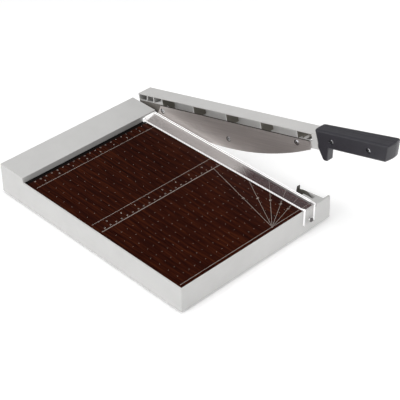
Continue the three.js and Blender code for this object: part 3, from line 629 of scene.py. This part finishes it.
def print_protractor(marks):
    marks.line((BASE_LINE_LEFT, APEX.y), (PROTRACTOR_RIGHT, APEX.y), BASE_LINE_WIDTH)
    for degrees in RAY_ANGLES:
        a = math.radians(degrees)
        way = Vector((math.cos(a), math.sin(a)))
        to_ruler, to_right = (MID_CM_Y - APEX.y) / way.y, (PROTRACTOR_RIGHT - APEX.x) / way.x
        reach = to_ruler if degrees == RAY_ANGLES[-1] else to_right
        numeral = 46.0 + 0.45 * (degrees - RAY_ANGLES[0])
        for start, end in ((RAY_START, numeral - NUMERAL_ROOM), (numeral + NUMERAL_ROOM, reach)):
            marks.line(APEX + way * start, APEX + way * end, RAY_WIDTH)
        at = APEX + way * numeral
        marks.write(str(degrees), at.x, at.y, ANGLE_NUMERAL_SIZE)
    marks.dot(APEX.x, APEX.y, APEX_DOT)


def printed_bed():
    marks = Print()
    print_scales(marks)
    print_grid(marks)
    print_protractor(marks)
    add_piece("bed_print", marks.finish("bed_print"), "base", material=PRINT_INK)


# ---- screws ----

def cross_recess(radius, depth):
    """Cutter for a cross recess: two tapered wings that meet on the axis, from above the head down."""
    bm = bmesh.new()
    half, thin = radius * 0.56, radius * 0.13
    mouth = (half * 1.15, thin * 1.2, radius * 0.3)
    floor = (half * 0.35, thin * 0.7, -depth)
    for turn in (0.0, math.pi / 2):
        loops = []
        for reach, wide, height in (mouth, floor):
            corners = [(-reach, -wide), (reach, -wide), (reach, wide), (-reach, wide)]
            c, s = math.cos(turn), math.sin(turn)
            loops.append([bm.verts.new((x * c - y * s, x * s + y * c, height)) for x, y in corners])
        top, bottom = loops
        bm.faces.new(top)
        bm.faces.new(bottom[::-1])
        for i in range(4):
            j = (i + 1) % 4
            bm.faces.new((bottom[i], bottom[j], top[j], top[i]))
    return mesh_of(bm, "recess")


def screw_mesh(name, radius, height, shank, length, countersunk):
    """A screw with its head's crown at z 0 and its shank down -Z. Sizes are in metres."""
    crown = 0.2 * radius if countersunk else 0.0
    profile = [(0, 0)]
    if countersunk:
        profile += [(radius * 0.55, -crown * 0.3), (radius * 0.96, -crown), (radius, -crown * 1.6)]
    else:
        for step in range(1, 6):
            a = math.radians(18 * step)
            profile.append((radius * math.sin(a), -height * 0.62 * (1 - math.cos(a))))
        profile.append((radius, -height))
    profile += [(shank, -height), (shank, -length + 0.5 * shank), (shank * 0.5, -length), (0, -length)]
    bm = bmesh.new()
    lathe(bm, profile[::-1])
    mesh = cut_away(mesh_of(bm, "screw"), cross_recess(radius, height * 0.75), name, self_crossing=True)
    mesh.materials.append(MATERIALS["screw_steel"])
    mesh.materials.append(SHADED_RECESS)
    # The faces deep in the cross recess take the painted shade.
    for face in mesh.polygons:
        inner = math.hypot(face.center.x, face.center.y) < 0.62 * radius
        face.material_index = 1 if inner and -0.9 * height < face.center.z < -0.07 * radius else 0
    smooth(mesh, 40.0)
    return mesh


# Head radius, head height, shank radius in mm, whether countersunk, which way the head faces, and body.
SCREW_SETS = {
    "blade_screw": (3.3, 1.9, 1.8, True, "-X", "arm"),
    "handle_screw": (3.5, 2.2, 1.7, False, "-X", "arm"),
    "ledger_screw": (3.8, 2.3, 1.4, True, "+X", "base"),
    "guard_screw": (3.4, 2.0, 1.5, False, "-Y", "base"),
    "foot_screw": (3.5, 1.3, 1.5, False, "-Z", "base"),
    "bracket_screw": (3.9, 2.1, 1.7, False, "-Z", "base"),
}
HANDLE_SCREW_RISE = 1.3 * MM  # by which the visual heads stand nearer the mouths of their recesses
FACING = {
    "-X": Matrix.Rotation(-math.pi / 2, 4, "Y"),
    "+X": Matrix.Rotation(math.pi / 2, 4, "Y"),
    "-Y": Matrix.Rotation(math.pi / 2, 4, "X"),
    "-Z": Matrix.Rotation(math.pi, 4, "X"),
}


def crossed_screws():
    """Each plain CAD screw is stood for by one with a domed head and a cross recess."""
    for turn, node in enumerate(sorted(NODES)):
        kind = next((k for k in SCREW_SETS if node.startswith(k)), None)
        if kind is None:
            continue
        radius, height, shank, countersunk, facing, body = SCREW_SETS[kind]
        low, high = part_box(node)
        axis = "XYZ".index(facing[1])
        crown = (low + high) / 2
        crown[axis] = low[axis] if facing[0] == "-" else high[axis]
        length = high[axis] - low[axis]
        if kind == "handle_screw":
            crown[axis] -= HANDLE_SCREW_RISE
        mesh = screw_mesh(node + "_cross", radius * MM, height * MM, shank * MM, length, countersunk)
        place = Matrix.Translation(crown) @ FACING[facing] @ Matrix.Rotation(0.7 * turn, 4, "Z")
        mesh.transform(place)
        # The guard screw takes the dark copy of the screw steel, a painted dark reflection.
        if kind == "guard_screw":
            mesh.materials[0] = DARK_REFLECTION_STEEL
        piece = add_piece(node + "_cross", mesh, body, "screw_steel")
        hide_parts(node)


# ---- blade ----

BLADE_LEFT, BLADE_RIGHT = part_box("cutting_blade")[0].x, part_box("cutting_blade")[1].x
# In mm in the arm's own frame, where u runs from the pivot to the handle and z is up across the arm.
EDGE_LOWEST_U, EDGE_LOWEST_Z, EDGE_RADIUS = 163.5, -23.5, 485.0
BLADE_TOP, BLADE_HEEL, BLADE_TOE = 19.3, 19.0, 333.5
HEEL_SLOPE_END = 35.5  # the blade's top slopes up to here from its heel
GRIND = 5.0  # height of the ground bevel on the blade's outer side
EDGE_FLAT = 0.15 * MM  # by which the cutting edge stands in from the blade's bed side
BLADE_STEPS = 96
# Half section of a countersunk seat, as (radius, height) in metres from the face of the screw's head.
SCREW_SEAT = [(0, -0.004), (0.0021, -0.004), (0.0021, -0.0019), (0.0043, 0.0003), (0, 0.0003)]
BLADE_BODY, BLADE_GRIND, BLADE_SHADE_SLOT = 0, 1, 2  # the blade's material slots: body, ground bevel and painted shade


def edge_height(u):
    """Height of the curved cutting edge at u."""
    return EDGE_LOWEST_Z + EDGE_RADIUS - math.sqrt(EDGE_RADIUS ** 2 - (u - EDGE_LOWEST_U) ** 2)


def arm_point(x, u, z):
    """A row-frame point from a row X and the arm's own u and z in mm."""
    p = ARM_FRAME @ Vector((0, -u * MM, z * MM))
    return Vector((x, p.y, p.z))


def countersunk(mesh, name, screws):
    """Cuts a countersunk hole for each screw through a plate that its head faces from -X."""
    bm = bmesh.new()
    for node in screws:
        low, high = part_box(node)
        seat = bmesh.new()
        lathe(seat, SCREW_SEAT)
        cone = mesh_of(seat, "seat")
        cone.transform(Matrix.Translation((low.x, (low.y + high.y) / 2, (low.z + high.z) / 2)) @ FACING["-X"])
        # The seats take the painted shade.
        for face in cone.polygons:
            face.material_index = BLADE_SHADE_SLOT
        bm.from_mesh(cone)
        bpy.data.meshes.remove(cone)
    return cut_away(mesh, mesh_of(bm, "seats"), name)


def ground_blade():
    """The cutting blade with its bevel ground on the outer side, down to the edge on the bed side."""
    bm = bmesh.new()
    columns = []
    for i in range(BLADE_STEPS + 1):
        u = BLADE_HEEL + (BLADE_TOE - BLADE_HEEL) * i / BLADE_STEPS
        edge = min(edge_height(u), BLADE_TOP - 1.0)
        top = BLADE_TOP - (0.5 if i == BLADE_STEPS else 0.0)
        if u < HEEL_SLOPE_END:
            slope = (u - BLADE_HEEL + 0.3) / (HEEL_SLOPE_END - BLADE_HEEL)
            top = min(top, edge + (BLADE_TOP - edge) * slope)
        grind = min(GRIND, (top - edge) * 0.7)
        columns.append([
            bm.verts.new(arm_point(BLADE_LEFT, u, top)),
            bm.verts.new(arm_point(BLADE_LEFT, u, edge + 0.25 * min(1.0, grind))),
            bm.verts.new(arm_point(BLADE_LEFT + EDGE_FLAT, u, edge)),
            bm.verts.new(arm_point(BLADE_RIGHT, u, edge + grind)),
            bm.verts.new(arm_point(BLADE_RIGHT, u, top)),
        ])
    bm.faces.new(columns[0])
    bm.faces.new(columns[-1][::-1])
    # The top face takes the painted shadow of the gap under the arm.
    sides = (BLADE_BODY, BLADE_GRIND, BLADE_GRIND, BLADE_BODY, BLADE_SHADE_SLOT)
    for before, after in zip(columns, columns[1:]):
        for k, look in enumerate(sides):
            j = (k + 1) % len(sides)
            bm.faces.new((before[k], after[k], after[j], before[j])).material_index = look
    mesh = mesh_of(bm, "ground_blade")
    mesh.materials.append(MATERIALS["blade_steel"])
    mesh.materials.append(GROUND_EDGE)
    mesh.materials.append(SHADED_BLADE_STEEL)
    mesh = countersunk(mesh, "ground_blade", [n for n in sorted(NODES) if n.startswith("blade_screw")])
    smooth(mesh, 8.0)
    piece = add_piece("ground_blade", mesh, "arm", "blade_steel")
    bevel(piece, 0.12, 1, 50.0)
    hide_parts("cutting_blade")


# ---- pivot spring ----

def coil_spring():
    """A smooth coil in the place of the faceted CAD one."""
    low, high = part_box("pivot_spring")
    wire = 1.0 * MM  # radius
    centre = (low + high) / 2
    radius = (high.z - low.z) / 2 - wire
    turns, per_turn = 4, 28
    curve = bpy.data.curves.new("pivot_coil", "CURVE")
    curve.dimensions = "3D"
    curve.bevel_depth = wire * 0.97
    curve.bevel_resolution = 3
    curve.use_fill_caps = True
    spline = curve.splines.new("POLY")
    count = turns * per_turn + 1
    spline.points.add(count - 1)
    for i, point in enumerate(spline.points):
        a = 2 * math.pi * i / per_turn
        x = low.x + wire + (high.x - low.x - 2 * wire) * i / (count - 1)
        point.co = (x, centre.y + radius * math.cos(a), centre.z + radius * math.sin(a), 1.0)
    mesh = evaluated(scratch(curve), "pivot_coil")
    smooth(mesh, 60.0)
    piece = add_piece("pivot_coil", mesh, "base", "pivot_steel")
    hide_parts("pivot_spring")


# ---- carried-over CAD nodes ----

# Edge rounding in mm and its segments, by the start of the node's name. The first match counts.
ROUNDING = (
    ("base_shell", 0.5, 3),
    ("cross_bar", 0.3, 2),
    ("bed_board", 0.25, 2),
    ("ledger_blade", 0.2, 1),
    ("guard_strip", 0.35, 2),
    ("foot_", 0.5, 2),
    ("latch_bracket", 0.6, 3),
    ("latch_hook", 0.25, 2),
    ("latch_pin", 0.2, 1),
    ("arm_casting", 0.5, 2),
    ("handle_", 0.6, 2),
    ("pivot_lock_nut", 0.4, 2),
    ("pivot_bolt", 0.4, 2),
    ("pivot_", 0.2, 1),
    ("catch_pin", 0.2, 1),
)


# The guard in bench mm: its sheet's top, and the lines beyond which its faces are cut edges or ends.
GUARD_TOP = 5.5
GUARD_LEFT, GUARD_RIGHT, GUARD_REAR = 231, 249, 312
# The ribs between its ridges: left, right, width along the guard, pitch, first, end, bottom and top.
RIB_LEFT, RIB_RIGHT, RIB_WIDTH = 246.5, 248.3, 1.1
RIB_PITCH, FIRST_RIB, RIBS_END = 3.2, 12.0, 312.0
RIB_BOTTOM, RIB_TOP = 5.4, 6.1


def frost_guard_edges():
    """Gives the guard's cut edges and the two ridges along its cutting side the sawn look and its painted glow."""
    mesh = NODES["guard_strip"].data
    mesh.materials.append(GLOWING_SAWN_EDGE)
    top = bench(0, 0, GUARD_TOP).z + 0.05 * MM
    left, right = bench(GUARD_LEFT, 0).x, bench(GUARD_RIGHT, 0).x
    rear, front = bench(0, GUARD_REAR).y, bench(0, 0).y
    for face in mesh.polygons:
        c, n = face.center, face.normal
        left_edge = n.x < -0.7 and c.x < left
        right_edge = n.x > 0.9 and c.x > right
        ridge = c.z > top and n.z > 0.5
        ends = c.y > rear or (c.y < front and abs(n.x) > 0.7)
        if left_edge or right_edge or ridge or ends:
            face.material_index = 1


def guard_serration():
    """Fine cross ribs moulded between the guard's two ridges, with a faint painted glow."""
    bm = bmesh.new()
    low, high = bench(0, 0, RIB_BOTTOM).z, bench(0, 0, RIB_TOP).z
    for i in range(int((RIBS_END - FIRST_RIB) / RIB_PITCH)):
        y = FIRST_RIB + i * RIB_PITCH
        a, b = bench(RIB_LEFT, y), bench(RIB_RIGHT, y + RIB_WIDTH)
        prism(bm, [(a.x, a.y), (b.x, a.y), (b.x, b.y), (a.x, b.y)], low, high)
    add_piece("guard_serration", mesh_of(bm, "guard_serration"), "base", material=GLOWING_RIBBED_TOP)


def dress_nodes():
    """Gives every CAD node its slot's material, smooth shading and rounded edges."""
    slots = {s["node"]: s["material_slot"] for s in frame["record"]["subparts"]}
    for name, piece in NODES.items():
        piece.data.materials.clear()
        piece.data.materials.append(MATERIALS[slots[name]])
        smooth(piece.data)
        for prefix, width, segments in ROUNDING:
            if name.startswith(prefix):
                bevel(piece, width, segments)
                break


# ---- studio ----

CAMERA_AZIMUTH, CAMERA_ELEVATION, CAMERA_ROLL = -44.861, 36.614, 0.334
CAMERA_LENS = 116.304
CAMERA_PLACE = (-0.84942, -0.88564, 1.05090 + BASE_HEIGHT * MM)  # from the base's low left front corner
FLOOR_HALF = 6.0  # half of the floor's side


def camera():
    """The photo's camera, fitted to the printed rulers, the dot grids and the bed's edges."""
    a, e = math.radians(CAMERA_AZIMUTH), math.radians(CAMERA_ELEVATION)
    back = Vector((math.sin(a) * math.cos(e), -math.cos(a) * math.cos(e), math.sin(e)))
    right = Vector((math.cos(a), math.sin(a), 0))
    up = back.cross(right)
    turn = Matrix((right, up, back)).transposed().to_4x4()
    data = bpy.data.cameras.new("camera")
    data.lens = CAMERA_LENS
    data.sensor_width = 36.0
    data.clip_start, data.clip_end = 0.05, 50.0
    made = bpy.data.objects.new("camera", data)
    bpy.context.scene.collection.objects.link(made)
    place = Matrix.Translation(CORNER + Vector(CAMERA_PLACE))
    made.matrix_world = place @ turn @ Matrix.Rotation(math.radians(CAMERA_ROLL), 4, "Z")
    bpy.context.scene.camera = made


def softbox(name, place, target, size, watts):
    """A rectangular area light at a place, turned to its target."""
    data = bpy.data.lights.new(name, "AREA")
    data.shape = "RECTANGLE"
    data.size, data.size_y = size
    data.energy = watts
    made = bpy.data.objects.new(name, data)
    bpy.context.scene.collection.objects.link(made)
    made.location = place
    made.rotation_euler = (Vector(place) - Vector(target)).to_track_quat("Z", "Y").to_euler()


def studio():
    """A pale floor, a weak white surround and three softboxes."""
    bm = bmesh.new()
    h = FLOOR_HALF
    prism(bm, [(-h, -h), (h, -h), (h, h), (-h, h)], -0.02, 0.0)
    floor = bpy.data.objects.new("floor", mesh_of(bm, "floor"))
    bpy.context.scene.collection.objects.link(floor)
    s = Shading("pale_floor", Roughness=0.9, Specular_IOR_Level=0.1, Emission_Strength=0.17)
    s.shader.inputs["Emission Color"].default_value = WHITE
    s.color(s.ramp(s.noise(3.0, 2.0), [(0.3, (0.93, 0.93, 0.93)), (0.7, (0.95, 0.95, 0.95))]))
    floor.data.materials.append(s.material)

    world = bpy.data.worlds.new("studio")
    bpy.context.scene.world = world
    world.use_nodes = True
    background = next(n for n in world.node_tree.nodes if n.type == "BACKGROUND")
    background.inputs["Color"].default_value = WHITE
    background.inputs["Strength"].default_value = 0.24

    middle = (0.0, 0.0, 0.05)
    softbox("left_softbox", (-2.0, 0.3, 1.2), middle, (1.8, 1.4), 25.0)
    softbox("front_softbox", (1.35, -1.1, 0.6), (0.05, -0.1, 0.02), (0.9, 0.7), 14.0)
    softbox("overhead_softbox", (-0.2, 0.1, 2.3), middle, (1.8, 1.8), 30.0)
    bpy.context.scene.view_settings.view_transform = "Standard"


camera()
studio()
dress_nodes()
frost_guard_edges()
guard_serration()
printed_bed()
crossed_screws()
ground_blade()
coil_spring()
